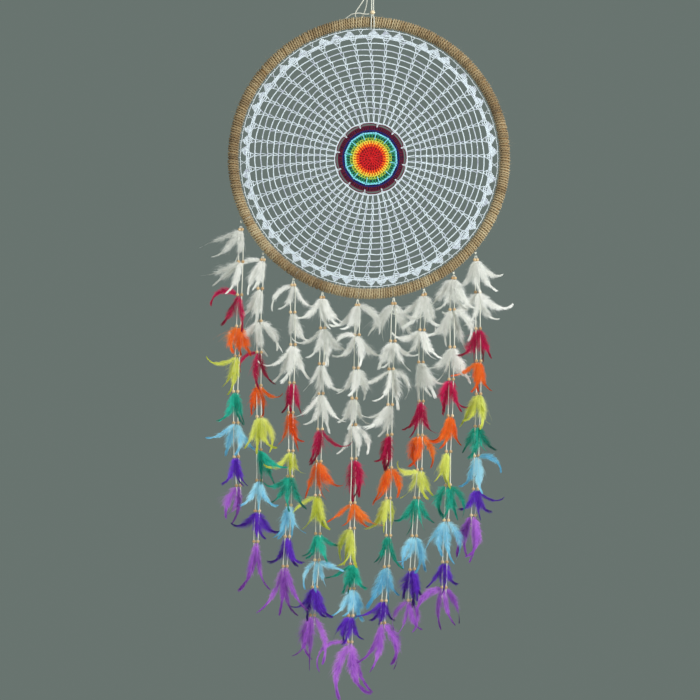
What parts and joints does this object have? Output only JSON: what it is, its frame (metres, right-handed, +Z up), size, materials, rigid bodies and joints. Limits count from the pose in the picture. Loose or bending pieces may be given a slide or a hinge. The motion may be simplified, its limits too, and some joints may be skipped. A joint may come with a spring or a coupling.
{
  "type": "dream catcher",
  "caption": "Jute-wrapped hoop with a crocheted web and a round colour centre, hung on a cord, with beaded feather strands below.",
  "frame": {"origin": "the point inside the top of the hanging loop where the nail bears", "axes": "+Z up, the hoop lies in the XZ plane, its front faces -Y, +X is to the viewer's right"},
  "size_m": [0.4353, 0.0428, 1.0047],
  "materials": {
    "cream_cotton": "twisted cotton cord",
    "bead_wood": "turned, waxed",
    "cane": "split cane, raw",
    "jute": "coarse twisted jute twine",
    "white_thread": "crocheted cotton",
    "yarn_red": "crocheted cotton",
    "yarn_orange": "crocheted cotton",
    "yarn_yellow": "crocheted cotton",
    "yarn_lime": "crocheted cotton",
    "yarn_green": "crocheted cotton",
    "yarn_sky": "crocheted cotton",
    "yarn_navy": "crocheted cotton",
    "yarn_burgundy": "crocheted cotton",
    "feather_white": "soft feather",
    "feather_crimson": "soft feather, dyed",
    "feather_orange": "soft feather, dyed",
    "feather_lime": "soft feather, dyed",
    "feather_green": "soft feather, dyed",
    "feather_sky": "soft feather, dyed",
    "feather_violet": "soft feather, dyed",
    "feather_purple": "soft feather, dyed"
  },
  "bodies": {
    "hanger_eye": {"hanger_loop": "cream_cotton", "hanger_knot": "cream_cotton"},
    "hanger_line": {"hanger_cords": "cream_cotton", "hanger_bead": "bead_wood", "hanger_sling": "cream_cotton", "hanger_tails": "cream_cotton"},
    "hoop": {"hoop_ring": "cane", "jute_wrap": "jute", "strand_ties": "cream_cotton", "web_rounds": "white_thread", "web_posts": "white_thread", "web_edge": "white_thread", "web_lacing": "white_thread", "mandala_red": "yarn_red", "mandala_orange": "yarn_orange", "mandala_yellow": "yarn_yellow", "mandala_lime": "yarn_lime", "mandala_green": "yarn_green", "mandala_sky": "yarn_sky", "mandala_navy": "yarn_navy", "mandala_burgundy": "yarn_burgundy"},
    "strand_1": {"strand_1_cords": "cream_cotton", "strand_1_beads": "bead_wood", "strand_1_feathers_white": "feather_white", "strand_1_feathers_dyed": "feather_crimson"},
    "strand_2": {"strand_2_cords": "cream_cotton", "strand_2_beads": "bead_wood", "strand_2_feathers_white": "feather_white", "strand_2_feathers_dyed": "feather_crimson"},
    "strand_3": {"strand_3_cords": "cream_cotton", "strand_3_beads": "bead_wood", "strand_3_feathers_white": "feather_white", "strand_3_feathers_dyed": "feather_crimson"},
    "strand_4": {"strand_4_cords": "cream_cotton", "strand_4_beads": "bead_wood", "strand_4_feathers_white": "feather_white", "strand_4_feathers_dyed": "feather_crimson"},
    "strand_5": {"strand_5_cords": "cream_cotton", "strand_5_beads": "bead_wood", "strand_5_feathers_white": "feather_white", "strand_5_feathers_dyed": "feather_crimson"},
    "strand_6": {"strand_6_cords": "cream_cotton", "strand_6_beads": "bead_wood", "strand_6_feathers_white": "feather_white", "strand_6_feathers_dyed": "feather_crimson"},
    "strand_7": {"strand_7_cords": "cream_cotton", "strand_7_beads": "bead_wood", "strand_7_feathers_white": "feather_white", "strand_7_feathers_dyed": "feather_crimson"},
    "strand_8": {"strand_8_cords": "cream_cotton", "strand_8_beads": "bead_wood", "strand_8_feathers_white": "feather_white", "strand_8_feathers_dyed": "feather_crimson"},
    "strand_9": {"strand_9_cords": "cream_cotton", "strand_9_beads": "bead_wood", "strand_9_feathers_white": "feather_white", "strand_9_feathers_dyed": "feather_crimson"}
  },
  "joints": [
    {"name": "hanger_twist", "type": "hinge", "parent": "hanger_eye", "child": "hanger_line", "pos_m": [0, 0, -0.0106], "axis": [0, 0, 1], "range_deg": [-60, 60], "stiffness_Nm_per_rad": 0.0002},
    {"name": "hoop_tilt", "type": "hinge", "parent": "hanger_line", "child": "hoop", "pos_m": [0, 0, -0.053], "axis": [1, 0, 0], "range_deg": [-25, 25]},
    {"name": "strand_1_swing", "type": "hinge", "parent": "hoop", "child": "strand_1", "pos_m": [-0.186, 0, -0.34132], "axis": [1, 0, 0], "range_deg": [-30, 30]},
    {"name": "strand_2_swing", "type": "hinge", "parent": "hoop", "child": "strand_2", "pos_m": [-0.155, 0, -0.38409], "axis": [1, 0, 0], "range_deg": [-30, 30]},
    {"name": "strand_3_swing", "type": "hinge", "parent": "hoop", "child": "strand_3", "pos_m": [-0.112, 0, -0.41858], "axis": [1, 0, 0], "range_deg": [-30, 30]},
    {"name": "strand_4_swing", "type": "hinge", "parent": "hoop", "child": "strand_4", "pos_m": [-0.071, 0, -0.43727], "axis": [1, 0, 0], "range_deg": [-30, 30]},
    {"name": "strand_5_swing", "type": "hinge", "parent": "hoop", "child": "strand_5", "pos_m": [-0.021, 0, -0.44689], "axis": [1, 0, 0], "range_deg": [-30, 30]},
    {"name": "strand_6_swing", "type": "hinge", "parent": "hoop", "child": "strand_6", "pos_m": [0.03, 0, -0.44477], "axis": [1, 0, 0], "range_deg": [-30, 30]},
    {"name": "strand_7_swing", "type": "hinge", "parent": "hoop", "child": "strand_7", "pos_m": [0.073, 0, -0.43292], "axis": [1, 0, 0], "range_deg": [-30, 30]},
    {"name": "strand_8_swing", "type": "hinge", "parent": "hoop", "child": "strand_8", "pos_m": [0.115, 0, -0.41011], "axis": [1, 0, 0], "range_deg": [-30, 30]},
    {"name": "strand_9_swing", "type": "hinge", "parent": "hoop", "child": "strand_9", "pos_m": [0.146, 0, -0.38302], "axis": [1, 0, 0], "range_deg": [-30, 30]}
  ]
}
